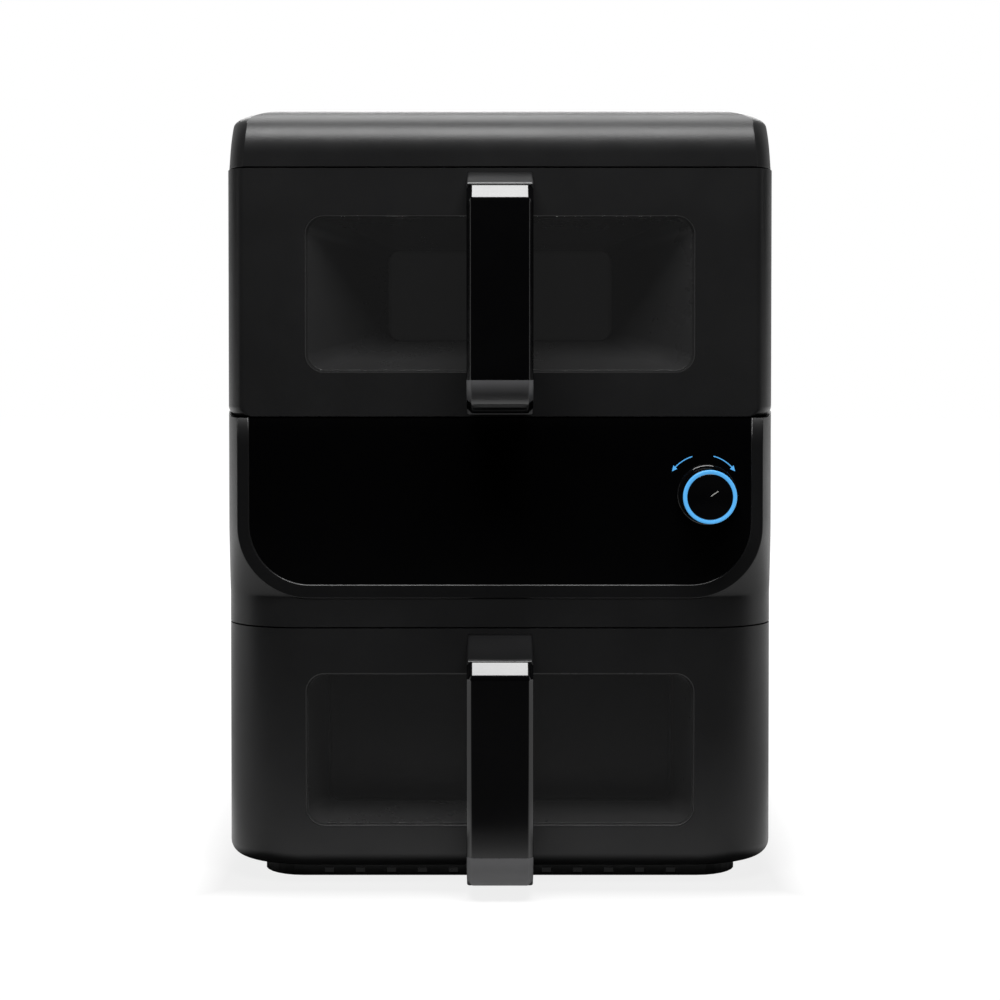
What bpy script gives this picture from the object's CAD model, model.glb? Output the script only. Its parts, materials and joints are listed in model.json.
# %% [markdown]
# # A stacked air fryer, dressed for its portrait
# The construction comes first: every plate, shaft and pane is already a solid with its own name.
# This lesson gives those solids the looks of the real appliance. The big moulded shells are
# worked out again as smooth surfaces, and every piece gets a finish made of nodes.

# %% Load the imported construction
import json
import bmesh
import bpy
import numpy as np
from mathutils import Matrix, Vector


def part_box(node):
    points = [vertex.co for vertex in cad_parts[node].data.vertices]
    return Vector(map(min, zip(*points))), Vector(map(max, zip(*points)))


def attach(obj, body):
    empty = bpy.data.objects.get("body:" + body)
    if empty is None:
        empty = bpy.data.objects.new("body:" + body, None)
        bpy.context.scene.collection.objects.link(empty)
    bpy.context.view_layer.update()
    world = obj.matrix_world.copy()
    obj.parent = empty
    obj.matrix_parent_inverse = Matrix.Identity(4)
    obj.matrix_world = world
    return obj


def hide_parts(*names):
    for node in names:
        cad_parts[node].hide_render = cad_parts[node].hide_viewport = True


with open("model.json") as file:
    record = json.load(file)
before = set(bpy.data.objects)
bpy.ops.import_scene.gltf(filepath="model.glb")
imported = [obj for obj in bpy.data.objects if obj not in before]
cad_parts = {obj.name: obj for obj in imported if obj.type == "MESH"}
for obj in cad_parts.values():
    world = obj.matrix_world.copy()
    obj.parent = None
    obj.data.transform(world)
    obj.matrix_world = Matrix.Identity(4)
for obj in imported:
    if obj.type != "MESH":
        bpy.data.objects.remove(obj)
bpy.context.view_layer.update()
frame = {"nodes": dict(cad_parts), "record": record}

# %% [markdown]
# ## Sizes
# A shape is easier to read in millimetres, so the surfaces are worked out in millimetres and
# turned into metres only when a mesh is made. The places come from the boxes of the solids, so
# a surface lands exactly on the piece that it stands for.

# %% Read the main places off the solids
MM = 0.001


def low_high(node):
    """Lowest and highest corner of a solid, in millimetres."""
    low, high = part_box(node)
    return np.array(low) / MM, np.array(high) / MM


UPPER_LOW, UPPER_HIGH = low_high("upper_front")
LOWER_HIGH = low_high("lower_front")[1]
COVER_LOW, COVER_HIGH = low_high("top_cover")
REAR_HIGH = low_high("rear_cover")[1]
SIDE_LOW, SIDE_HIGH = low_high("side_panel_right")
HALF = UPPER_HIGH[0]
FRONT, BACK, REAR = UPPER_LOW[1], UPPER_HIGH[1], REAR_HIGH[1]
SEAM = 0.8
MID_Z, MID_TOP = LOWER_HIGH[2] + SEAM, UPPER_LOW[2] - SEAM
print(f"half width {HALF:.2f}, front {FRONT:.1f}, rear {REAR:.1f} mm")

# %% [markdown]
# ## From arrays to meshes
# Nearly every shell here is a grid: rows of points, one row per height, each row following the
# outline of the body. Neighbouring rows are joined by quads. A hole is cut where it is needed by
# leaving one cell of the grid out and joining its four corners to the hole's own outline.

# %% Join grids of points into faces


def grid_points(x, y, z):
    """Points from their three coordinates, each stretched to the shape that they share."""
    return np.stack(np.broadcast_arrays(x, y, z), -1)


def grid_faces(rows, cols, wrap_rows=False, wrap_cols=False):
    """Quads between neighbouring points, where point (i, j) has the number i * cols + j.
    Wrapping joins the last row or column to the first."""
    i = np.arange(rows if wrap_rows else rows - 1)[:, None]
    j = np.arange(cols if wrap_cols else cols - 1)[None, :]
    up, right = (i + 1) % rows, (j + 1) % cols
    corners = [i * cols + j, i * cols + right, up * cols + right, up * cols + j]
    return np.stack(corners, -1).reshape(-1, 4)


def lid(row, width):
    """One flat face over all the points of a row, where every row has width points."""
    return row * width + np.arange(width)[None, :]


def pierced_cell(corners, hole, first):
    """Triangles between a cell's four corners and a hole's outline. Both run the same way round,
    and the hole's points fall into four equal parts, one for each corner. first is the number of
    the hole's first point."""
    n = len(hole)
    k = np.arange(n)
    corners = np.array(corners)
    fans = np.stack([corners[(k * 4) // n], first + (k + 1) % n, first + k], -1)
    turn = (np.arange(4) + 1) % 4
    links = np.stack([corners, corners[turn], first + turn * (n // 4)], -1)
    return np.concatenate([fans, links])


def pierced_grid(grid, holes):
    """The points and the blocks of faces of a grid with holes. A hole is ((row, column), points
    of its outline), and takes the place of that cell."""
    rows, cols = grid.shape[:2]
    points, faces, blocks = grid.reshape(-1, 3), grid_faces(rows, cols), []
    for (row, col), outline in holes:
        a = row * cols + col
        faces = faces[faces[:, 0] != a]
        blocks.append(pierced_cell([a, a + 1, a + cols + 1, a + cols], outline, len(points)))
        points = np.concatenate([points, outline])
    return points, [faces, *blocks]


def new_object(name, data):
    """An object for a mesh, a lamp or a camera, linked to the scene."""
    thing = bpy.data.objects.new(name, data)
    bpy.context.scene.collection.objects.link(thing)
    return thing


def face_values(mesh, key, width):
    """A property of all faces as an array, with one row of width numbers for each face."""
    values = np.empty(len(mesh.polygons) * width, np.float32)
    mesh.polygons.foreach_get(key, values)
    return values.reshape(-1, width)


def make_piece(name, points, faces, body, slot, replaced=(), middle=None, away=True):
    """A mesh piece from points in millimetres and arrays of faces. It sits at the origin, rides
    on a body, takes its finish from a slot and stands for the solids in replaced. An open
    surface is turned so that its faces look away from a middle point, or towards it."""
    mesh = bpy.data.meshes.new(name)
    rows = [row for block in faces for row in np.asarray(block).tolist()]
    mesh.from_pydata((np.reshape(points, (-1, 3)) * MM).tolist(), [], rows)
    shell = bmesh.new()
    shell.from_mesh(mesh)
    bmesh.ops.remove_doubles(shell, verts=shell.verts, dist=1e-6)
    bmesh.ops.recalc_face_normals(shell, faces=shell.faces)
    shell.to_mesh(mesh)
    shell.free()
    if middle is not None:
        reach = face_values(mesh, "center", 3) - np.array(middle) * MM
        outward = np.sum(reach * face_values(mesh, "normal", 3) * face_values(mesh, "area", 1))
        if (outward > 0) != away:
            mesh.flip_normals()
    mesh.polygons.foreach_set("use_smooth", np.ones(len(mesh.polygons), bool))
    piece = new_object(name, mesh)
    mesh.materials.append(FINISHES[slot])
    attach(piece, body)
    if replaced:
        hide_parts(*replaced)
    return piece


def stacked(name, loops, body, slot, replaced=(), ends=True, **facing):
    """Joins a stack of outlines with equal numbers of points, with flat faces at both ends."""
    loops = np.asarray(loops)
    count, n = loops.shape[:2]
    blocks = [grid_faces(count, n, wrap_cols=True)]
    if ends:
        blocks += [lid(0, n)[:, ::-1], lid(count - 1, n)]
    return make_piece(name, loops, blocks, body, slot, replaced, **facing)


def refinish(piece, key, chosen):
    """Gives some faces a second finish: chosen gets the faces' centres in millimetres and their
    normals as arrays, and answers with true or false for each face."""
    mesh = piece.data
    mesh.materials.append(FINISHES[key])
    picked = chosen(face_values(mesh, "center", 3) / MM, face_values(mesh, "normal", 3))
    mesh.polygons.foreach_set("material_index", picked.astype(np.int32))


def thicken(piece, wall, bevel=0.3):
    """Gives a surface a wall on its inner side and breaks its sharp edges."""
    solid = piece.modifiers.new("wall", "SOLIDIFY")
    solid.thickness = wall * MM
    solid.offset = -1
    solid.use_even_offset = True
    return soften(piece, bevel)


def soften(piece, bevel=0.0, angle=38):
    """Breaks the edges sharper than an angle and weights the normals by face area."""
    if bevel:
        edge = piece.modifiers.new("edges", "BEVEL")
        edge.width = bevel * MM
        edge.segments = 2
        edge.limit_method = "ANGLE"
        edge.angle_limit = np.radians(angle)
        edge.miter_outer = "MITER_ARC"
    even = piece.modifiers.new("shading", "WEIGHTED_NORMAL")
    even.keep_sharp = True
    even.weight = 80
    return piece


# %% [markdown]
# ## Finishes
# Almost everything on this appliance is black, so the finishes differ in gloss and grain. The
# moulded shells have a fine spark-eroded grain that scatters the light, the handle straps and the
# knob are polished, and the control panel is printed glass. Four small node groups carry what
# the finishes share: grain, handling, brushing and dust.

# %% Helpers for nodes


def shader_group(name, inputs, outputs):
    """An empty node group from inputs with their defaults and names of outputs, all plain numbers.
    Answers with the group, what comes in and the node that takes what goes out."""
    group = bpy.data.node_groups.new(name, "ShaderNodeTree")
    kind = "NodeSocketFloat"
    for label, value in inputs.items():
        group.interface.new_socket(label, in_out="INPUT", socket_type=kind).default_value = value
    for label in outputs:
        group.interface.new_socket(label, in_out="OUTPUT", socket_type=kind)
    return group, group.nodes.new("NodeGroupInput").outputs, group.nodes.new("NodeGroupOutput")


def feed(tree, node, values):
    """Feeds a node's inputs: a plain value is set, and another node's output is linked."""
    for label, value in values.items():
        if isinstance(value, bpy.types.NodeSocket):
            tree.links.new(value, node.inputs[label])
        else:
            node.inputs[label].default_value = value
    return node


def add(tree, kind, values=None, **settings):
    """A node with its properties set and its inputs fed."""
    node = tree.nodes.new(kind)
    for key, value in settings.items():
        setattr(node, key, value)
    return feed(tree, node, values or {})


def remap(tree, source, low, high, from_low=0.0, from_high=1.0):
    """A Map Range node on a value: the two ends of its range go to low and high."""
    return add(tree, "ShaderNodeMapRange", {
        "Value": source, "From Min": from_low, "From Max": from_high, "To Min": low,
        "To Max": high}).outputs["Result"]


def math(tree, operation, *values):
    """A Math node on sockets or numbers."""
    return add(tree, "ShaderNodeMath", dict(enumerate(values)), operation=operation).outputs[0]


def noise(tree, place, scale, detail=3.0, roughness=0.55):
    """A noise texture's value; scale is a number or a socket, in cycles per metre."""
    return add(tree, "ShaderNodeTexNoise", {
        "Vector": place, "Scale": scale, "Detail": detail, "Roughness": roughness}).outputs["Fac"]


def object_place(tree):
    """The point's place on the piece, in metres."""
    return add(tree, "ShaderNodeTexCoord").outputs["Object"]


def axes(tree, vector):
    """The X, Y and Z of a vector."""
    return add(tree, "ShaderNodeSeparateXYZ", {"Vector": vector}).outputs


# %% The four groups
RELIEF = ("Height", "Tone")

GRAIN, given, out = shader_group("moulded grain", {"Size": 2600.0, "Mottle": 24.0}, RELIEF)
place = object_place(GRAIN)
feed(GRAIN, out, {"Height": noise(GRAIN, place, given["Size"], 2.0, 0.6),
                  "Tone": noise(GRAIN, place, given["Mottle"], 5.0)})

HANDLED, given, out = shader_group("handling", {"Clean": 0.3, "Touched": 0.4}, ["Roughness"])
smears = noise(HANDLED, object_place(HANDLED), 16.0, 6.0, 0.68)
feed(HANDLED, out, {
    "Roughness": remap(HANDLED, smears, given["Clean"], given["Touched"], 0.38, 0.72)})

BRUSHED, given, out = shader_group("rolled metal", {"Lines": 900.0}, RELIEF)
place = object_place(BRUSHED)
along = add(BRUSHED, "ShaderNodeMapping", {"Scale": (1.0, 0.02, 1.0), "Vector": place})
feed(BRUSHED, out, {"Height": noise(BRUSHED, along.outputs["Vector"], given["Lines"], 2.0),
                    "Tone": noise(BRUSHED, place, 30.0, 4.0)})

DUST, given, out = shader_group("settled dust", {"Amount": 0.1}, ["Mask"])
normal = add(DUST, "ShaderNodeNewGeometry").outputs["Normal"]
upward = remap(DUST, axes(DUST, normal)["Z"], 0.0, 1.0, 0.75, 1.0)
specks = remap(DUST, noise(DUST, object_place(DUST), 420.0, 4.0, 0.7), 0.0, 1.0, 0.56, 0.74)
both = math(DUST, "MULTIPLY", upward, specks)
feed(DUST, out, {"Mask": math(DUST, "MULTIPLY", both, given["Amount"])})
print("shader groups:", [g.name for g in bpy.data.node_groups])

# %% [markdown]
# One helper makes a finish from these groups. Numbers that are the same all over a surface sit on
# the shader's own sockets, and only what changes over the surface comes through a link.

# %% A helper for finishes


def use(tree, group, **values):
    """The outputs of a node that uses a group, with its inputs set."""
    return add(tree, "ShaderNodeGroup", values, node_tree=group).outputs


def blend(tree, share, first, second):
    """The colour that lies a share of the way from the first to the second."""
    return add(tree, "ShaderNodeMix", {"Factor": share, "A": first, "B": second},
               data_type="RGBA").outputs["Result"]


DUST_COLOUR = (0.22, 0.215, 0.2, 1)
GRAIN_DEPTH, MOTTLE = 0.0002, (0.35, 0.68)


def finish(name, dark, light, rough, metallic=0.0, grain=2600.0, bump=0.0, lines=None, dust=0.0,
           level=0.5, alpha=1.0, glow=0.0, glow_colour=(1.0, 1.0, 1.0), ior=1.5):
    """A node material. Its colour drifts from dark to light with a slow mottle, its roughness
    runs between the two values of rough, and its bump comes from grain or from rolled lines.
    A colour is (red, green, blue) or, for a grey, (red and green, blue)."""
    material = bpy.data.materials.new(name)
    material.use_nodes = True
    tree = material.node_tree
    relief = use(tree, BRUSHED, Lines=lines) if lines else use(tree, GRAIN, Size=grain)
    mottle = remap(tree, relief["Tone"], 0.0, 1.0, *MOTTLE)
    colour = blend(tree, mottle, *[(tone[0], *tone[-2:], 1) for tone in (dark, light)])
    if dust:
        colour = blend(tree, use(tree, DUST, Amount=dust)["Mask"], colour, DUST_COLOUR)
    handled = use(tree, HANDLED, Clean=rough[0], Touched=rough[1])
    values = {"Base Color": colour, "Roughness": handled["Roughness"], "Metallic": metallic,
              "Specular IOR Level": level, "IOR": ior, "Alpha": alpha}
    if bump:
        values["Normal"] = add(tree, "ShaderNodeBump", {
            "Strength": bump, "Distance": GRAIN_DEPTH,
            "Height": relief["Height"]}).outputs["Normal"]
    if glow:
        values.update({"Emission Color": (*glow_colour, 1), "Emission Strength": glow})
    feed(tree, tree.nodes["Principled BSDF"], values)
    return material


# %% The finishes, one for each slot of the construction
FINISHES = {
    "matte_shell": finish(
        "matte black shell", (0.0175, 0.018), (0.0215, 0.022), (0.32, 0.4), grain=2400.0,
        bump=0.28, dust=0.03, level=0.38),
    "inner_plastic": finish(
        "dark inner plastic", (0.04, 0.0405), (0.05, 0.0505), (0.26, 0.34), grain=1800.0,
        bump=0.12, glow=0.0095),
    "satin_trim": finish(
        "satin black trim", (0.0095, 0.01), (0.012, 0.0125), (0.3, 0.38), grain=3000.0,
        bump=0.08),
    "gloss_black": finish(
        "polished black", (0.0022, 0.0026), (0.0032, 0.0036), (0.08, 0.14), grain=300.0,
        bump=0.004, ior=1.62),
    "control_glass": finish(
        "printed control glass", (0.0016, 0.0018), (0.002, 0.0022), (0.03, 0.07)),
    "ring_light": finish(
        "lit ring", (0.06, 0.3, 0.62), (0.08, 0.34, 0.68), (0.3, 0.4), glow=0.75,
        glow_colour=(0.1, 0.42, 0.84)),
    "window_glass": finish(
        "smoked pane", (0.006, 0.0065), (0.008, 0.0085), (0.02, 0.05), alpha=0.2),
    "hazed_glass": finish(
        "hazed pane", (0.075, 0.076), (0.09, 0.091), (0.3, 0.4), alpha=0.85, glow=0.0145),
    "inner_glass": finish(
        "inner pane", (0.013, 0.0135), (0.016, 0.0165), (0.3, 0.4), alpha=0.8, glow=0.011),
    "ground_edge": finish(
        "ground edge", (0.05, 0.051), (0.06, 0.061), (0.22, 0.3), grain=3000.0, bump=0.03,
        glow=0.03),
    "bend_satin": finish(
        "satin bend", (0.17, 0.175), (0.2, 0.206), (0.3, 0.36), grain=3000.0, bump=0.04),
    "rubber": finish(
        "black rubber", (0.012, 0.012), (0.018, 0.018), (0.62, 0.78), grain=1500.0, bump=0.2,
        dust=0.1),
    "sheet_steel": finish(
        "rolled steel sheet", (0.34, 0.35), (0.46, 0.47), (0.3, 0.44), metallic=1.0, lines=1400.0,
        bump=0.08),
    "coated_metal": finish(
        "non-stick coat", (0.012, 0.0125), (0.022, 0.0225), (0.34, 0.46), grain=3200.0, bump=0.14),
    "heater_steel": finish(
        "heat-darkened tube", (0.06, 0.052, 0.046), (0.14, 0.12, 0.1), (0.38, 0.55), metallic=0.9,
        grain=900.0, bump=0.1),
    "bright_aluminium": finish(
        "plain aluminium", (0.52, 0.54), (0.64, 0.66), (0.28, 0.42), metallic=1.0, lines=1100.0,
        bump=0.06),
    "shaft_steel": finish(
        "turned steel", (0.38, 0.4), (0.5, 0.52), (0.2, 0.32), metallic=1.0, lines=2200.0,
        bump=0.05),
    "circuit_board": finish(
        "solder mask", (0.006, 0.045, 0.022), (0.012, 0.09, 0.045), (0.28, 0.4), grain=500.0,
        bump=0.2),
    "white_plastic": finish(
        "natural nylon", (0.5, 0.47), (0.6, 0.57), (0.4, 0.5), grain=1600.0, bump=0.06),
}
PANES = {"upper_inner_pane": "hazed_glass", "lower_inner_pane": "inner_glass"}
for part in frame["record"]["subparts"]:
    cad = frame["nodes"][part["node"]]
    cad.data.materials.clear()
    cad.data.materials.append(FINISHES[PANES.get(part["node"], part["material_slot"])])

# %% [markdown]
# ## Outlines
# Seen from above, each front is flat in the middle and sweeps back to the sides along a quarter
# of an ellipse. All shells use the same sweep with their own width and depth.

# %% Outlines as arrays


def sweep_half(half, front, wide, deep, turn, n):
    """Right half of a front's plan, from the end of the flat to the side. With t running from
    turn to 90 degrees, x grows with sin t and y with 1 - cos t, both scaled to end at the
    corner's width and depth. The values may be columns, one for each row of points."""
    t = np.radians(turn + (90 - turn) * np.linspace(0, 1, n))
    s, c = np.sin(np.radians(turn)), np.cos(np.radians(turn))
    x = half - wide + wide * (np.sin(t) - s) / (1 - s)
    y = front + deep * (c - np.cos(t)) / c
    return x, y


def mirrored(z, *blocks):
    """Full rows, one for each height in the column z, from the (x, y) blocks of their right half
    set side by side. The left half is the mirror image, run backwards."""
    blocks = [np.broadcast_arrays(x, y, z)[:2] for x, y in blocks]
    x, y = [np.concatenate(parts, 1) for parts in zip(*blocks)]
    return np.concatenate([-x[:, ::-1], x], 1), np.concatenate([y[:, ::-1], y], 1)


def column(values):
    """A list of values as a column, to work on one row of points each."""
    return np.asarray(values, float)[:, None]


def unit(vectors):
    """Vectors of length one in the same directions."""
    return vectors / np.linalg.norm(vectors, axis=-1, keepdims=True)


def around(centre, radius, degrees):
    """Points on a circle in the front plane: the centre plus radius times cosine and sine."""
    t = np.radians(np.atleast_1d(degrees))
    return np.asarray(centre) + radius * np.stack([np.cos(t), np.sin(t)], -1)


def quarter(n, start=0, end=90):
    """Angles in radians over a quarter turn, or from start to end degrees."""
    return np.radians(np.linspace(start, end, n))


def foot_heights(radius, n=13):
    """Heights over a rolled edge of a radius: the radius times 1 - cos t over a quarter turn."""
    return radius * (1 - np.cos(quarter(n)))


def arc_in(radius, height):
    """How far a quarter-round edge stands in at a height below its radius."""
    h = np.minimum(np.asarray(height, float), radius)
    return radius - np.sqrt(np.maximum(0, radius ** 2 - (radius - h) ** 2))


def rounded_outline(x0, x1, z0, z1, radius, corner=9):
    """A rounded rectangle as points, starting at the lower left corner and running to the right.
    Each corner is a quarter circle of a number of points."""
    left, right, low, high = x0 + radius, x1 - radius, z0 + radius, z1 - radius
    start = np.linspace(180, 270, corner)
    centres = ((left, low), (right, low), (right, high), (left, high))
    arcs = [around(centre, radius, start + 90 * k) for k, centre in enumerate(centres)]
    return np.concatenate(arcs)


def window_outline(level, inset, radius, corner=14):
    """The outline of a window's box, drawn in by an inset, or out where that is negative."""
    low, high = low_high(f"{level}_window")
    return rounded_outline(low[0] + inset, high[0] - inset, low[2] + inset, high[2] - inset,
                           radius, corner)


def upright_loop(outline, y):
    """Lifts an outline of (x, z) points into a plane across the depth y."""
    return grid_points(outline[:, 0], y, outline[:, 1])


def circle(centre, radius, n):
    """A full turn of points round a centre, starting at its left."""
    return around(centre, radius, np.linspace(180, 540, n + 1)[:-1])


def middle_of(box, axis):
    """The middle of a box along an axis, in millimetres."""
    return (box[0][axis] + box[1][axis]) / 2


# %% [markdown]
# ## The drawer fronts
# Each front is a tray that is open at the back. Its wall is a grid of rows, the roll under the
# lower front comes from shrinking the lowest rows, and the window's hole takes the place of the
# grid's middle cell. A solidify modifier then gives the tray its wall.

# %% Trays for the drawer fronts
WINDOW_R, FRONT_WALL, FIT = 10.0, 3.0, 0.15


def front_tray(level, foot_r, steps, wide, deep, roll=0.0, tighten=0.0):
    """A drawer's tray over its solid's box: some steps up a foot of a radius, then one row at the
    top. Where a row stands in, shares of that set its front back and tighten its corners. The
    hole for the window, a hair wider than the pane, is cut in the middle of the tallest step."""
    low, high = low_high(f"{level}_front")
    h = foot_heights(foot_r, steps)
    z = column([*(low[2] + h), high[2]])
    inset = column([*arc_in(foot_r, h), 0])
    sweep = sweep_half(HALF - inset, FRONT + roll * inset, wide - tighten * inset,
                       deep - tighten * inset, 0, 20)
    x, y = mirrored(z, sweep, (HALF - inset, BACK))
    levels, width = x.shape
    hole = upright_loop(window_outline(level, -FIT, WINDOW_R, 9), FRONT)
    points, blocks = pierced_grid(grid_points(x, y, z), [((levels - 2, width // 2 - 1), hole)])
    blocks += [lid(0, width), lid(levels - 1, width)]
    tray = make_piece(f"{level}_front_tray", points, blocks, f"{level}_drawer", "matte_shell",
                      (f"{level}_front",))
    print(level, "tray:", len(points), "points")
    return thicken(tray, FRONT_WALL, bevel=0.45)


# %% The two fronts
UPPER_FOOT, EDGE_R, CORNER_W, CORNER_D = 5.0, 8.0, 40.0, 33.0
front_tray("upper", UPPER_FOOT, 7, wide=11.5, deep=30)
front_tray("lower", EDGE_R, 13, CORNER_W, CORNER_D, roll=1 / 2, tighten=1 / 3)

# %% [markdown]
# ## The top cover
# The cover is a lid: it rises almost straight, leans in a little, and then turns over into a flat
# top. Its front turns over further down than its sides, which is what catches the light from
# above in one long band.

# %% Roll the top cover over
COVER_H = COVER_HIGH[2] - COVER_LOW[2]
SIDE_ROLL, SIDE_ROLL_D, FRONT_ROLL_Z, FRONT_ROLL_D = 8.3, 20, 24.0, 26
COVER_LIP, COVER_LEAN, SHELL_WALL = 0.4, 1.6, 2.5
COVER_SWEEP, COVER_FLAT, REAR_R = (10.5, 30), 35, 25.0


def roll_in(z, top, room, depth):
    """How far a rolled shoulder stands in at height z: a quarter ellipse over the last room
    millimetres below the top, depth deep at the top itself."""
    rise = np.clip((z - top + room) / room, 0, 1)
    return depth * (1 - np.sqrt(1 - rise ** 2))


# three rows at the lip, two up the straight part and thirty over the roll
z = column(np.concatenate([[0, 0.25, 0.7], (COVER_H - FRONT_ROLL_Z) * np.array([0.4, 0.8]),
                           COVER_H - FRONT_ROLL_Z * (1 - np.sin(quarter(30)))]))
side_in = (COVER_LIP + COVER_LEAN * np.minimum(1, z / (COVER_H - SIDE_ROLL))
           + roll_in(z, COVER_H, SIDE_ROLL, SIDE_ROLL_D))
half, rear = HALF - side_in, REAR - side_in
sweep = sweep_half(half, FRONT + roll_in(z, COVER_H, FRONT_ROLL_Z, FRONT_ROLL_D),
                   *COVER_SWEEP, COVER_FLAT, 18)
turn = quarter(16)
x, y = mirrored(z, sweep, (half - REAR_R + REAR_R * np.cos(turn),
                           rear - REAR_R + REAR_R * np.sin(turn)))
levels, width = x.shape
cover = make_piece("top_cover_shell", grid_points(x, y, COVER_LOW[2] + z),
                   [grid_faces(levels, width, wrap_cols=True), lid(levels - 1, width)],
                   "housing", "matte_shell", ("top_cover",), middle=(0, 0, COVER_LOW[2]))
thicken(cover, SHELL_WALL)
print("top cover:", x.size, "points")

# %% [markdown]
# ## The middle housing
# The shell between the drawers carries the control panel. Its flat face follows the bezel's
# rounded corners, so beside and below the bezel the shell sweeps back at once, and its width at
# each height comes from the bezel's outline. The recess for the panel is a step in every row.

# %% Sweep the middle housing round the bezel
BEZEL_SIDE, BEZEL_Z, BEZEL_R = 7.4, 15.1, 38.0
POCKET, MID_WALL, STRAIGHTER = 5.1, 2.0, 55
BACK_W, LOWER_W = 30.0, CORNER_W


def bezel_inset(z):
    """How far the bezel's outline stands in from the body's side at height z: constant beside
    the straight part, then along the corner's circle, and all the way below the bezel."""
    corner = np.minimum(LOWER_W, BEZEL_SIDE + arc_in(BEZEL_R, z - BEZEL_Z))
    return np.where(z > BEZEL_Z + BEZEL_R, BEZEL_SIDE, np.where(z < BEZEL_Z, LOWER_W, corner))


mid_h = MID_TOP - MID_Z
corner_z = BEZEL_Z + BEZEL_R * (1 - np.cos(quarter(26, 9)))
# five rows below the recess, one at its step, then the bezel's corner and its straight part
z = column([0, 0.5, BEZEL_Z * 0.35, BEZEL_Z * 0.7, BEZEL_Z - 0.01, BEZEL_Z, *corner_z,
            BEZEL_Z + BEZEL_R + 1, mid_h])
wide = bezel_inset(z)
wide[4:6] = wide[6]  # the two rows at the recess's step are as wide as the row above them
beside = np.clip((LOWER_W - wide) / (LOWER_W - BEZEL_SIDE), 0, 1)
deep = CORNER_D + (BACK_W - CORNER_D) * beside
x, y = sweep_half(HALF, FRONT, wide, deep, STRAIGHTER * beside, 22)
rebate = np.where(z >= BEZEL_Z, POCKET, 0.0)
x, y = mirrored(z, (x[:, :1] - 0.02, FRONT + rebate), (x, y), (HALF, BACK))
levels, width = x.shape
# the top row rises at both ends, round the rolled foot of the upper front
high = np.broadcast_to(MID_Z + z, x.shape).copy()
ear = np.clip(np.abs(x[-1]) - (HALF - UPPER_FOOT), 0, None)
ear_z = UPPER_LOW[2] + UPPER_FOOT - np.sqrt((UPPER_FOOT + SEAM) ** 2 - ear ** 2)
high[-1] = np.where(ear > 0, ear_z, MID_TOP)
shell = make_piece("middle_housing_shell", grid_points(x, y, high),
                   [grid_faces(levels, width), lid(0, width), lid(levels - 1, width)],
                   "housing", "matte_shell", ("mid_housing",), middle=(0, 60, MID_Z + mid_h / 2))
thicken(shell, MID_WALL)
print("middle housing:", x.size, "points")

# %% [markdown]
# ## Side panels and rear cover
# The side panels are plain walls with a rolled foot and two sunk screws each. The rear cover
# wraps round both rear corners and has two fields of vent slots and the hole for the cord gland.
# All these holes are cells of the grid with an outline of their own.

# %% Side walls with holes for their screws


def wall_with_holes(name, grid, holes, replaced):
    """A pierced grid as a piece of the housing, whose thickness goes inwards."""
    piece = make_piece(name, *pierced_grid(grid, holes), "housing", "matte_shell", replaced,
                       middle=(0, 0, 200))
    return thicken(piece, SHELL_WALL)


BASE_Z, SCREW_END, SCREW_R, CELL = SIDE_LOW[2], 40, 3.2, 6
screw_y = middle_of(low_high("housing_screws"), 1)
screw_z = (BASE_Z + SCREW_END, SIDE_HIGH[2] - SCREW_END)
foot = foot_heights(EDGE_R)
foot_in = arc_in(EDGE_R, foot)
z = np.concatenate([BASE_Z + foot] + [[s - CELL, s + CELL] for s in screw_z] + [[SIDE_HIGH[2]]])
inset = np.append(foot_in, np.zeros(len(z) - len(foot)))
y = np.array([SIDE_LOW[1], screw_y - CELL, screw_y + CELL, SIDE_HIGH[1]])
for side, label in ((-1, "left"), (1, "right")):
    grid = grid_points(side * (HALF - inset)[:, None], y[None, :], z[:, None])
    holes = []
    for k, height in enumerate(screw_z):
        ring = circle((screw_y, height), SCREW_R, 24)
        holes.append(((len(foot) + 2 * k, 1), grid_points(side * HALF, ring[:, 0], ring[:, 1])))
    wall_with_holes(f"{label}_side_wall", grid, holes, (f"side_panel_{label}",))

# %% The rear cover
VENT_PITCH, VENT_ROWS, VENT_STEP, VENT_R, VENT_DROP, VENT_HALF = 7.0, 5, 46, 1.5, 26, 17.5
GLAND_R, GLAND_CELL = 9, 12
gland = low_high("cord_gland")
gland_x, gland_z = middle_of(gland, 0), middle_of(gland, 2)
vents = [low_high(f"{level}_liner")[1][2] - VENT_DROP for level in ("lower", "upper")]
steps = (np.arange(VENT_ROWS + 1) - VENT_ROWS / 2) * VENT_PITCH
z = column([*(BASE_Z + foot), gland_z - GLAND_CELL, gland_z + GLAND_CELL,
            *(vents[0] + steps), *(vents[1] + steps), REAR_HIGH[2]])
inset = column(np.append(foot_in, np.zeros(len(z) - len(foot))))
breaks = [VENT_STEP / 2, VENT_STEP * 1.5, gland_x - GLAND_CELL, gland_x + GLAND_CELL]
half, back, bend = HALF - inset, REAR - inset / 2, REAR_R - inset
turn = quarter(18, 90, 0)
x, y = mirrored(z, (breaks, back),
                (half - bend + bend * np.cos(turn), back - bend + bend * np.sin(turn)),
                (half, SIDE_HIGH[1]))
middle = x.shape[1] // 2 - 1
holes = []
for block, vent in enumerate(vents):
    first_row = len(foot) + 2 + block * (VENT_ROWS + 1)
    for row in range(VENT_ROWS):
        centre = vent + (row - (VENT_ROWS - 1) / 2) * VENT_PITCH
        for k in (-1, 0, 1):
            slot = rounded_outline(k * VENT_STEP - VENT_HALF, k * VENT_STEP + VENT_HALF,
                                   centre - VENT_R, centre + VENT_R, VENT_R, corner=7)
            holes.append(((first_row + row, middle + k), upright_loop(slot, REAR)))
holes.append(((len(foot), middle + 3), upright_loop(circle((gland_x, gland_z), GLAND_R, 32), REAR)))
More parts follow.
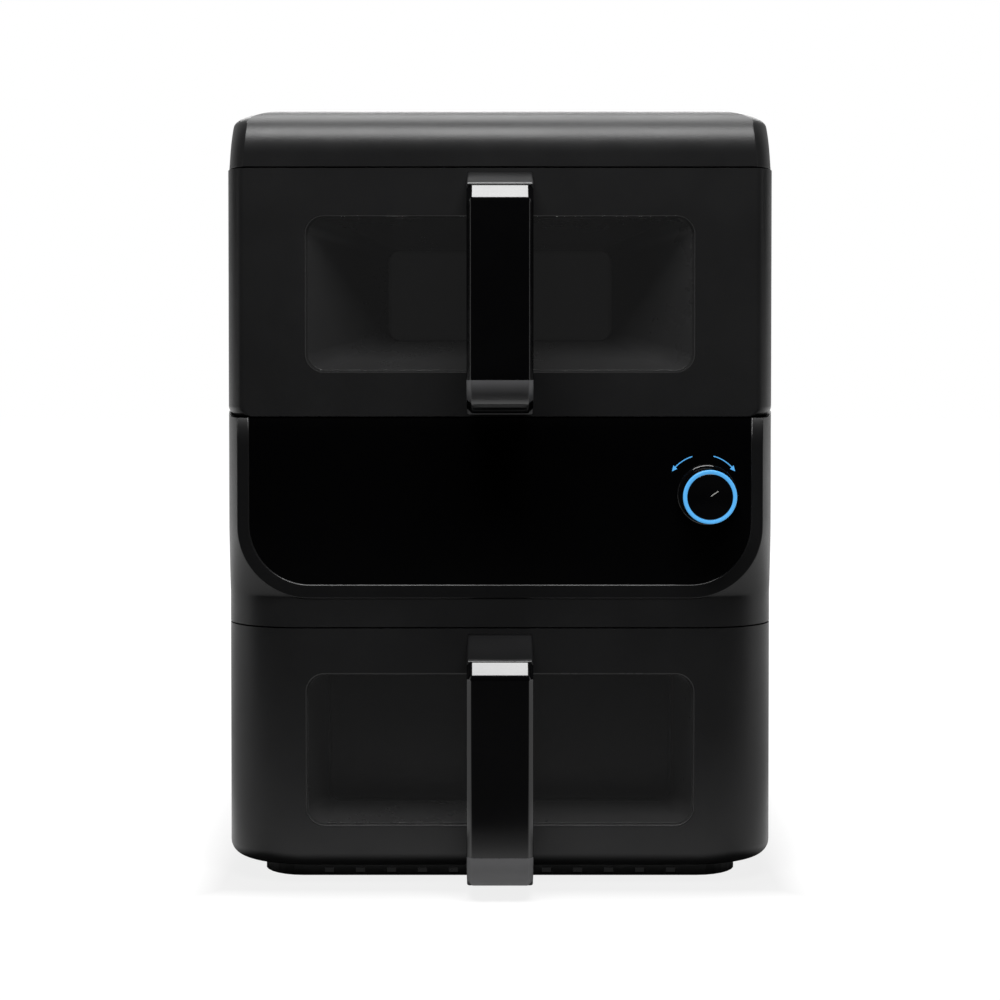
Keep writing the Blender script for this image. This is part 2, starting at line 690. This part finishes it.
wall_with_holes("rear_cover_shell", grid_points(x, y, z), holes, ("rear_cover",))
print("rear cover:", len(holes), "holes")

# %% [markdown]
# ## The control panel
# The bezel is a U-shaped band. Its outer and inner edges have the same number of points, so the
# band is a small closed profile stretched between the two edges.

# %% Carry the bezel's profile round its U
MID_HALF, BAND_W, BAND_FOOT, INNER_R = HALF - BEZEL_SIDE, 6.4, 7.4, 32.0


def u_outline(half, low, high, radius):
    """A U from its upper left end down, round two quarter circles and up to its upper right end."""
    straight = column(np.linspace(high, low + radius, 5)[:-1])
    turn = np.linspace(180, 270, 28)
    left = np.concatenate([np.append(np.full_like(straight, -half), straight, 1),
                           around((radius - half, low + radius), radius, turn)])
    return np.concatenate([left, left[::-1] * [-1, 1]])


def between(outer, inner, share, extra):
    """Points between two edges: a share of the way from the outer to the inner edge, and then
    some millimetres further that way. Share and extra hold one value for each profile point."""
    way = (inner - outer)[:, None, :]
    return outer[:, None, :] + way * share[..., None] + unit(way) * extra[..., None]


def profile_rows(profile):
    """The columns of a list of profile points, each as one row."""
    return [np.array(v)[None, :] for v in zip(*profile)]


bezel_low, bezel_high = low_high("panel_bezel")
face_y = bezel_low[1]
outer = u_outline(MID_HALF, MID_Z + BEZEL_Z, MID_TOP, BEZEL_R)
inner = u_outline(MID_HALF - BAND_W, MID_Z + BEZEL_Z + BAND_FOOT, MID_TOP, INNER_R)
share, extra, depth = profile_rows([
    (0, 0, bezel_high[1]), (0, 0, face_y + 0.6), (0, 0.18, face_y + 0.18), (0, 0.6, face_y),
    (1, -0.8, face_y), (1, -0.24, face_y + 0.2), (1, 0, face_y + 0.75), (1, 0, bezel_high[1])])
flat = between(outer, inner, share, extra)
soften(stacked("panel_bezel_band", grid_points(flat[..., 0], depth, flat[..., 1]), "housing",
               "satin_trim", ("panel_bezel",)))
print("bezel:", len(flat), "profiles along the U")

# %% [markdown]
# ## Turned pieces
# The knob, its lit ring and its collar are bodies of revolution. A profile of radius against
# depth is turned round the knob's axis, in the way a lathe would cut it.

# %% Turn a profile round an axis along the depth
TURNS = 96


def turned_piece(name, profile, body, slot, replaced):
    """Turns (radius, y) points round the knob's axis: x grows with the radius times cos t and z
    with the radius times sin t. Points on the axis become one pole."""
    radius, depth = np.array(profile, float).T[:, :, None]
    angle = np.linspace(0, 2 * np.pi, TURNS, endpoint=False)
    points = grid_points(knob[0] + radius * np.cos(angle), depth, knob[1] + radius * np.sin(angle))
    faces = [grid_faces(len(radius), TURNS, wrap_rows=True, wrap_cols=True)]
    return soften(make_piece(name, points, faces, body, slot, replaced))


cap, ring_box, collar = [low_high(f"knob_{part}") for part in ("cap", "ring", "collar")]
knob = (middle_of(ring_box, 0), middle_of(ring_box, 2))
R, front, back = (cap[1][0] - cap[0][0]) / 2, cap[0][1], cap[1][1]
BAND, SKIRT, WEB, HUB_R, BORE_R = 2.1, 2.0, 4.0, 5.5, 2.81
print(f"knob: radius {R:.2f} mm at", np.round(knob, 2).tolist())

# %% The knob and its lit ring
# out over the dished face, back along the rim, then inside to the hub and its bore
cap_profile = [(0.0, front + 0.4), (4, front + 0.36), (8, front + 0.22), (R - BAND - 0.5, front),
               (R - BAND - 0.12, front + 0.03), (R - BAND - 0.02, front + 0.2),
               (R - BAND, front + 1.6), (R - 0.35, front + 1.62), (R - 0.05, front + 1.8),
               (R, front + 2.2), (R, back - 1.2), (R - 0.3, back - 0.35), (R - 1.0, back),
               (R - SKIRT, back), (R - SKIRT, front + WEB), (HUB_R, front + WEB), (HUB_R, back),
               (BORE_R, back), (BORE_R, front + WEB + 0.2), (0.0, front + WEB + 0.2)]
turned_piece("knob_body", cap_profile, "knob", "gloss_black", ("knob_cap",))
RIM_ROLL = 0.7
lit = [(R - BAND + 0.05, front + 1.55), (R - BAND + 0.05, front + 0.35),
       (R - BAND + 0.3, front + 0.08)]
lit += [(R - RIM_ROLL * (1 - np.sin(a)), front + RIM_ROLL * (1 - np.cos(a))) for a in quarter(8)]
lit += [(R, front + 1.55)]
turned_piece("knob_light_ring", lit, "knob", "ring_light", ("knob_ring",))

# %% The collar on the glass
RC, cf, cb = (collar[1][0] - collar[0][0]) / 2, collar[0][1], collar[1][1]
glass_y = low_high("panel_glass")[0][1]
INSIDE_R, SPIGOT_R = 4.5, 5.85
collar_profile = [(INSIDE_R, cf + 0.2), (RC - 1.6, cf), (RC - 0.9, cf + 0.08),
                  (RC - 0.45, cf + 0.3), (RC - 0.15, cf + 0.8), (RC, cf + 1.6), (RC, glass_y),
                  (SPIGOT_R, glass_y), (SPIGOT_R, cb), (INSIDE_R, cb)]
turned_piece("knob_collar_ring", collar_profile, "housing", "gloss_black", ("knob_collar",))

# %% [markdown]
# ## The knob's marks
# A pale tick lies on the knob's face, and two curved arrows on the glass show which ways it
# turns. An arrow is a strip along a circle with a triangle at its end. Flat outlines like these
# become plates when the same outline is stacked twice.

# %% Lay the arrows
DIAL, ARROW_R, LINE, HEAD, TIP = (knob[0] - 1.8, knob[1] + 0.6), 20.3, 0.5, 1.35, 8.0


def arrow(name, start, end):
    """A strip from one angle to another, whose tip lies a few degrees past the end."""
    t = np.linspace(start, end, 14)
    outline = np.concatenate([around(DIAL, radius, degrees) for radius, degrees in (
        (ARROW_R + LINE / 2, t), (ARROW_R + HEAD, end), (ARROW_R, end + np.sign(end - start) * TIP),
        (ARROW_R - HEAD, end), (ARROW_R - LINE / 2, t[::-1]))])
    loops = [upright_loop(outline, glass_y - 0.1), upright_loop(outline, glass_y + 0.05)]
    soften(stacked(name, loops, "housing", "ring_light"))


arrow("legend_arrow_left", 107, 137)
arrow("legend_arrow_right", 75, 43)

# %% Lay the tick
TICK_HALF, TICK_FROM, TICK_TO = 0.28, 0.6, 5.2
way = np.array([0.82, 0.57])
across = np.array([-way[1], way[0]]) * TICK_HALF
start, end = knob + way * TICK_FROM, knob + way * TICK_TO
tick = np.array([start - across, end - across, end + across, start + across])
loops = [upright_loop(tick, front + 0.2), upright_loop(tick, front + 0.5)]
soften(stacked("knob_tick", loops, "knob", "white_plastic"))
print(f"tick: {TICK_TO - TICK_FROM:.1f} mm long")

# %% [markdown]
# ## Panes
# Each window is a plate of smoked glass with a ground edge: a stack of rounded rectangles, whose
# first two grow by the width of the chamfer, closed by a flat face at each end.

# %% Grind the panes
CHAMFER = 0.9


def pane(level):
    """A plate that fills the window's box, with rounded corners and a chamfer at the front."""
    low, high = low_high(f"{level}_window")
    steps = [(CHAMFER, 0), (CHAMFER * 0.35, CHAMFER * 0.2), (0, CHAMFER * 0.8),
             (0, high[1] - low[1])]
    loops = [upright_loop(window_outline(level, d, WINDOW_R - d), low[1] + y) for d, y in steps]
    plate = stacked(f"{level}_window_pane", loops, f"{level}_drawer", "window_glass",
                    (f"{level}_window",))
    refinish(plate, "ground_edge", lambda centres, normals: np.abs(normals[:, 1]) < 0.9)
    print(level, "pane:", np.round(high - low, 2).tolist(), "mm")
    return soften(plate)


for level in ("upper", "lower"):
    pane(level)

# %% [markdown]
# ## Funnel and tunnel
# Behind the upper pane a moulded funnel narrows to the basket's mouth; behind the lower pane the
# tunnel stays almost as wide as the pane. Both are stacks of outlines that shrink with depth.

# %% Narrow each outline from the pane to the basket
TUNNEL_WALL, RIM, LEDGE, STRAIGHT = 1.5, 3.0, 1.2, 2.0
RIM_R, START_R, END_R = 13, 9, 7


def tunnel(level, shape, end_w, end_h):
    """Outlines from the pane's back to the basket's mouth: width, height and corner radius all
    change in step with depth, and the last two millimetres run straight. A flat rim at the front
    rests on the back of the drawer's front. The faces look to the front, so the wall goes out."""
    low, high = low_high(f"{level}_window")
    z = (low[2] + high[2]) / 2
    depth = np.linspace(0, 1, 12)
    start = np.array([high[0] - LEDGE, (high[2] - low[2]) / 2 - LEDGE])
    end = np.array([end_w / 2, end_h / 2])
    front = high[1] + FIT
    loops = [upright_loop(window_outline(level, -RIM, RIM_R), front)]
    for t, y in [*zip(depth, front + (BACK - STRAIGHT - high[1]) * depth), (1, BACK)]:
        w, h = start + (end - start) * t
        outline = rounded_outline(-w, w, z - h, z + h, START_R + (END_R - START_R) * t, 14)
        loops.append(upright_loop(outline, y))
    piece = stacked(f"{level}_window_{shape}", loops, f"{level}_drawer", "inner_plastic",
                    (f"{level}_{shape}",), ends=False, middle=(0, -900, z), away=False)
    return thicken(piece, TUNNEL_WALL, bevel=0.25)


# %% The two mouths
SHEET, MOUTH_GAP = 1.2, 5.2
BASKET = {level: low_high(f"{level}_basket") for level in ("upper", "lower")}
low, high = low_high("lower_window")
MOUTHS = {"upper": (122.4, 49.8),
          "lower": (2 * (BASKET["lower"][1][0] - SHEET) - MOUTH_GAP, high[2] - low[2] - MOUTH_GAP)}
tunnel("upper", "funnel", *MOUTHS["upper"])
tunnel("lower", "tunnel", *MOUTHS["lower"])
print("mouths:", np.round(list(MOUTHS.values()), 1).tolist(), "mm")

# %% [markdown]
# ## Baskets
# A basket is pressed from coated sheet: rounded upright corners, a rolled foot and a mouth that
# looks out through the front's window. The mouth is made by leaving out cells of the grid.

# %% Press the baskets
BASKET_R, UPRIGHT_R, MOUTH_EDGE = 8.0, 12.0, 4
LIP = np.array([(1.2, 0), (0.4, 0.1), (0, 0.35)])  # (drop below the top, inset)


def basket(level, mouth_half, mouth_low, mouth_high):
    """Rows of rounded rectangles that grow round the rolled foot and then rise straight, with
    the front cells between the mouth's edges left out."""
    low, high = BASKET[level]
    h = foot_heights(BASKET_R, 10)
    z = column([*(low[2] + h), mouth_low, mouth_high, *(high[2] - LIP[:, 0])])
    inset = column([*arc_in(BASKET_R, h), 0, 0, *LIP[:, 1]])
    arc_end = high[0] - UPRIGHT_R
    reach = np.degrees(np.arcsin(np.clip((mouth_half - arc_end) / UPRIGHT_R, 0, 1)))
    turn = np.radians(np.unique(np.append(np.linspace(0, 90, 12), reach)))
    s, c = UPRIGHT_R * np.sin(turn), UPRIGHT_R * np.cos(turn)
    blocks = [(arc_end + s, low[1] + UPRIGHT_R - c), (arc_end + c, high[1] - UPRIGHT_R + s)]
    if reach == 0:  # the mouth ends on the flat front, which gets a column there
        blocks.insert(0, (mouth_half, low[1]))
    x, y = mirrored(z, *blocks)
    centre = (low[1] + high[1]) / 2
    x = x * (1 - inset / high[0])
    y = centre + (y - centre) * (1 - inset / (centre - low[1]))
    cols = x.shape[1]
    points = grid_points(x, y, z)
    faces = grid_faces(len(z), cols, wrap_cols=True)
    mids = points.reshape(-1, 3)[faces].mean(1)
    out = ((np.abs(mids[:, 0]) < mouth_half + 0.2) & (mids[:, 1] < low[1] + UPRIGHT_R)
           & (mids[:, 2] > mouth_low) & (mids[:, 2] < mouth_high))
    piece = make_piece(f"{level}_basket_shell", points, [faces[~out], lid(0, cols)],
                       f"{level}_drawer", "coated_metal", (f"{level}_basket",),
                       middle=(0, centre, mouth_low))
    print(level, "basket:", int(out.sum()), "cells left out for the mouth")
    return thicken(piece, SHEET, bevel=0.2)


for level, (mouth_w, mouth_h) in MOUTHS.items():
    mid = middle_of(low_high(f"{level}_window"), 2)
    w, h = (mouth_w - MOUTH_EDGE) / 2, (mouth_h - MOUTH_EDGE) / 2
    basket(level, w, mid - h, mid + h)

# %% [markdown]
# ## Handles
# A handle is a strap bent from the drawer's brow down to its foot. Its side view is a path, and
# the strap is a band between the outer path and the path of the finger gap. A polished cover
# with bevelled edges lies in a recess along its front.

# %% The strap's side view


def filleted(points, radii, n=18, side=12):
    """A path through points, where each corner with a radius becomes an arc of n points, and
    each straight stretch between corners gets a number of evenly spaced points."""
    points = np.array(points, float)
    parts = [points[:1]]
    for k in range(1, len(points) - 1):
        p, r = points[k], radii[k]
        a, b = unit(points[k - 1] - p), unit(points[k + 1] - p)
        half = np.arccos(np.clip(a @ b, -1, 1)) / 2
        centre = p + unit(a + b) * r / np.sin(half)
        start, end = p + a * r / np.tan(half) - centre, p + b * r / np.tan(half) - centre
        a0 = np.arctan2(start[1], start[0])
        turn = (np.arctan2(end[1], end[0]) - a0 + np.pi) % (2 * np.pi) - np.pi
        arc = around(centre, r, np.degrees(a0 + turn * np.linspace(0, 1, n)))
        last = parts[-1][-1]
        parts += [last + (arc[0] - last) * np.linspace(0, 1, side)[1:-1, None], arc]
    last = parts[-1][-1]
    parts.append(last + (points[-1] - last) * np.linspace(0, 1, side)[1:, None])
    return np.concatenate(parts)


def inward_normals(path):
    """Unit vectors to the right of the path's direction, from the differences of its points."""
    step = unit(np.gradient(path, axis=0))
    return np.stack([step[:, 1], -step[:, 0]], -1)


# %% The paths of the strap and of the finger gap
STRAP_W, REACH, STRAP_H, BROW, TOE, ROOT = 34.0, 42.0, 127.5, 118.0, -10.0, 11.0
COVER_T, COVER_BEVEL = 3.5, 2.6
SEAM_REACH, END_REACH = 36.7, 27.7
SLOPE = (STRAP_H - BROW) / REACH
BROW_IN, BROW_DOWN = 36.0, 111.1
outer_path = filleted([(0, STRAP_H), (BROW_IN, STRAP_H - SLOPE * BROW_IN), (REACH, BROW_DOWN),
                       (REACH, TOE), (0, ROOT)], (0, 3.5, 5, 18, 0))
GRIP_T, BROW_T, BEND_T, TOE_T = 13, 10, 12, 13.7
GAP_TOP, GAP_FOOT = 24, 6
grip = REACH - GRIP_T
turn_in = grip - 4
inner_path = filleted([(0, STRAP_H - BROW_T), (turn_in, STRAP_H - BEND_T - SLOPE * turn_in),
                       (grip, STRAP_H - GAP_TOP), (grip, ROOT + GAP_FOOT), (0, ROOT + TOE_T)],
                      (0, 4, 5, 7, 0))
print("paths:", len(outer_path), "and", len(inner_path), "points")

# %% Bend the straps and lay their covers


def strap_handle(level, base, bend):
    """The strap and its cover for one drawer, from the height of the strap's lowest root. Where
    the cover turns under, its polish gives way to a satin finish: bend is the height of that
    zone's middle over the root and half of the zone's height."""
    body = f"{level}_drawer"
    covered = outer_path[:, 0] > np.where(outer_path[:, 1] < STRAP_H / 2, END_REACH, SEAM_REACH)
    recess = column(np.where(covered, COVER_T + 0.1, 0))
    outer = outer_path + unit(inner_path - outer_path) * recess
    w = STRAP_W / 2
    half = [(-w, 1, 0), (-w + 0.3, 0.3, 0), (-w + 1.1, 0, 0)]
    half += [(-x, off, share) for x, off, share in half[::-1]]
    x, off, share = profile_rows(half + [(x, -off, 1) for x, off, _ in half[::-1]])
    at = between(outer, inner_path, share, off)
    core = stacked(f"{level}_handle_strap", grid_points(x, FRONT - at[..., 0], base + at[..., 1]),
                   body, "satin_trim", (f"{level}_handle_core",))
    soften(core)

    b = COVER_BEVEL
    section = [(-w, COVER_T), (-w, b + 0.35), (-w + 0.12, b + 0.1), (-w + 0.4, b - 0.3),
               (-w + b - 0.45, 0.4), (-w + b, 0.12), (-w + b + 0.5, 0)]
    x, deep = profile_rows(section + [(-x, depth) for x, depth in section[::-1]])
    at = outer_path[:, None, :] + inward_normals(outer_path)[:, None, :] * deep[..., None]
    at = at[covered]
    skin = stacked(f"{level}_handle_cover_strip",
                   grid_points(x, FRONT - at[..., 0], base + at[..., 1]),
                   body, "gloss_black", (f"{level}_handle_cover",))
    refinish(skin, "bend_satin",
             lambda centres, normals: np.abs(centres[:, 2] - base - bend[0]) < bend[1])
    soften(skin, bevel=0.25, angle=50)
    print(level, "handle:", int(covered.sum()), "of", len(outer_path), "sections covered")


BENDS = {"upper": (15.4, 7.1), "lower": (9.0, 11.5)}
for level, bend in BENDS.items():
    strap_handle(level, low_high(f"{level}_handle_core")[1][2] - STRAP_H, bend)

# %% [markdown]
# ## The studio
# The appliance stands on a pale floor in front of a pale backdrop. Two large soft lights hang
# above it and one behind, and a faint strip stands on each side. The room in front stays dark,
# so the polished faces stay black, and the pale floor and backdrop draw bright lines along the
# edges of the shell, as a table lit from below does.

# %% Hang the lamps


def area_light(name, place, aim, size, power):
    """A rectangular lamp at a place, turned towards a point; sizes in metres, power in watts."""
    lamp = bpy.data.lights.new(name, "AREA")
    lamp.shape, lamp.size, lamp.size_y, lamp.energy = "RECTANGLE", size[0], size[1], power
    holder = new_object(name, lamp)
    holder.location = place
    holder.rotation_euler = (Vector(aim) - Vector(place)).to_track_quat("-Z", "Y").to_euler()


area_light("key softbox", (0, -0.66, 1.45), (0, -0.2, 0.3), (1.0, 0.5), 20)
area_light("top softbox", (0, 0.4, 1.5), (0, 0, 0.3), (1.3, 0.7), 14)
for side, label in ((-1.2, "left"), (1.2, "right")):
    area_light(f"{label} strip", (side, -0.24, 0.40), (0, -0.2, 0.25), (0.16, 1.1), 0.35)
area_light("rear softbox", (0, 1.7, 1.15), (0, 0.1, 0.3), (1.4, 0.6), 9)
print(len(bpy.data.lights), "lamps")

# %% [markdown]
# The floor has a plain diffuse part that keeps the shadow, and a bright part that is added to it
# for rays from the camera and through glass. A mirror-like face sees the bright part too, but
# only outside the appliance's own footprint, weaker near it and not in front of it.

# %% Lay the floor


def blank(tree):
    """Empties a node tree and gives it a Light Path."""
    tree.nodes.clear()
    return add(tree, "ShaderNodeLightPath").outputs


FLOOR = 6
floor_mesh = bpy.data.meshes.new("floor")
floor_mesh.from_pydata([(-FLOOR, -FLOOR, 0), (FLOOR, -FLOOR, 0), (FLOOR, FLOOR, 0),
                        (-FLOOR, FLOOR, 0)], [], [(0, 1, 2, 3)])
floor = new_object("floor", floor_mesh)
paper = bpy.data.materials.new("pale floor")
floor_mesh.materials.append(paper)

# %% Where a mirror-like face sees the bright part
FOOTPRINT, EDGE_SOFT, FRONT_FADE = {"X": 0.146, "Y": 0.155}, 0.035, (-0.36, -0.26)
NEAR, FAR = (1.0, 0.42, 0.2, 0.3), (0.42, 0.85, 0.6, 1.2)
paper.use_nodes = True
tree = paper.node_tree
seen = blank(tree)
place = object_place(tree)
reach = add(tree, "ShaderNodeVectorMath", {0: place}, operation="LENGTH").outputs["Value"]
table = axes(tree, place)
beyond = [remap(tree, math(tree, "ABSOLUTE", table[axis]), 0.0, 1.0, half, half + EDGE_SOFT)
          for axis, half in FOOTPRINT.items()]
beside = math(tree, "MULTIPLY", math(tree, "MAXIMUM", *beyond),
              remap(tree, table["Y"], 0.0, 1.0, *FRONT_FADE))
level = math(tree, "MAXIMUM", remap(tree, reach, *NEAR), remap(tree, reach, *FAR))
table_light = math(tree, "MULTIPLY", beside, level)

# %% Join the floor's plain and bright parts
DULL, GLOW = (0.03, 0.35), (0.84, 1.0, 0.2, 0.34)
dull = remap(tree, table_light, *DULL)
glow = remap(tree, reach, *GLOW)
plain = add(tree, "ShaderNodeBsdfDiffuse", {"Color": dull}).outputs[0]
bright = add(tree, "ShaderNodeEmission", {"Strength": glow}).outputs[0]
lit = add(tree, "ShaderNodeAddShader", {0: plain, 1: bright}).outputs[0]
through = math(tree, "MAXIMUM", seen["Is Camera Ray"], seen["Is Transmission Ray"])
shown = math(tree, "MAXIMUM", through, math(tree, "MULTIPLY", table_light, seen["Is Glossy Ray"]))
surface = add(tree, "ShaderNodeMixShader", {0: shown, 1: plain, 2: lit}).outputs[0]
add(tree, "ShaderNodeOutputMaterial", {"Surface": surface})
print("floor:", len(tree.nodes), "nodes")

# %% [markdown]
# The world is white to the camera and through glass, a faint grey to soft surfaces, and to
# mirror-like faces it is bright behind the appliance only.

# %% Paint the backdrop
FAINT = 0.012
world = bpy.data.worlds.new("studio")
bpy.context.scene.world = world
world.use_nodes = True
tree = world.node_tree
seen = blank(tree)
backdrop = math(tree, "MAXIMUM", seen["Is Camera Ray"], seen["Is Transmission Ray"])
heading = axes(tree, add(tree, "ShaderNodeTexCoord").outputs["Generated"])
behind = remap(tree, heading["Y"], FAINT, 0.5, 0.5, 1.0)
mirrored_room = math(tree, "MULTIPLY", behind, seen["Is Glossy Ray"])
strength = math(tree, "MAXIMUM", math(tree, "MAXIMUM", mirrored_room, FAINT), backdrop)
air = add(tree, "ShaderNodeBackground", {"Color": (1, 1, 1, 1), "Strength": strength})
add(tree, "ShaderNodeOutputWorld", {"Surface": air.outputs[0]})
print("backdrop:", len(tree.nodes), "nodes")

# %% [markdown]
# ## The camera
# The camera looks at the front from a little over a metre away and tilts down by little more
# than a degree. A small shift brings the appliance to the middle of the frame, so its upright
# edges stay almost parallel.

# %% Set the camera
DISTANCE, EYE, PITCH, LENS, SHIFT = 1.1, 0.29, 1.233, 75.38, -0.12
lens = bpy.data.cameras.new("camera")
lens.sensor_width, lens.lens, lens.shift_y = 36.0, LENS, SHIFT
lens.clip_start, lens.clip_end = 0.01, 50
camera = new_object("camera", lens)
camera.location = (0, FRONT * MM - DISTANCE, EYE)
camera.rotation_euler = (np.radians(90 - PITCH), 0, 0)
bpy.context.scene.camera = camera
bpy.context.scene.view_settings.view_transform = "Standard"
print("camera at", np.round(camera.location, 3).tolist())
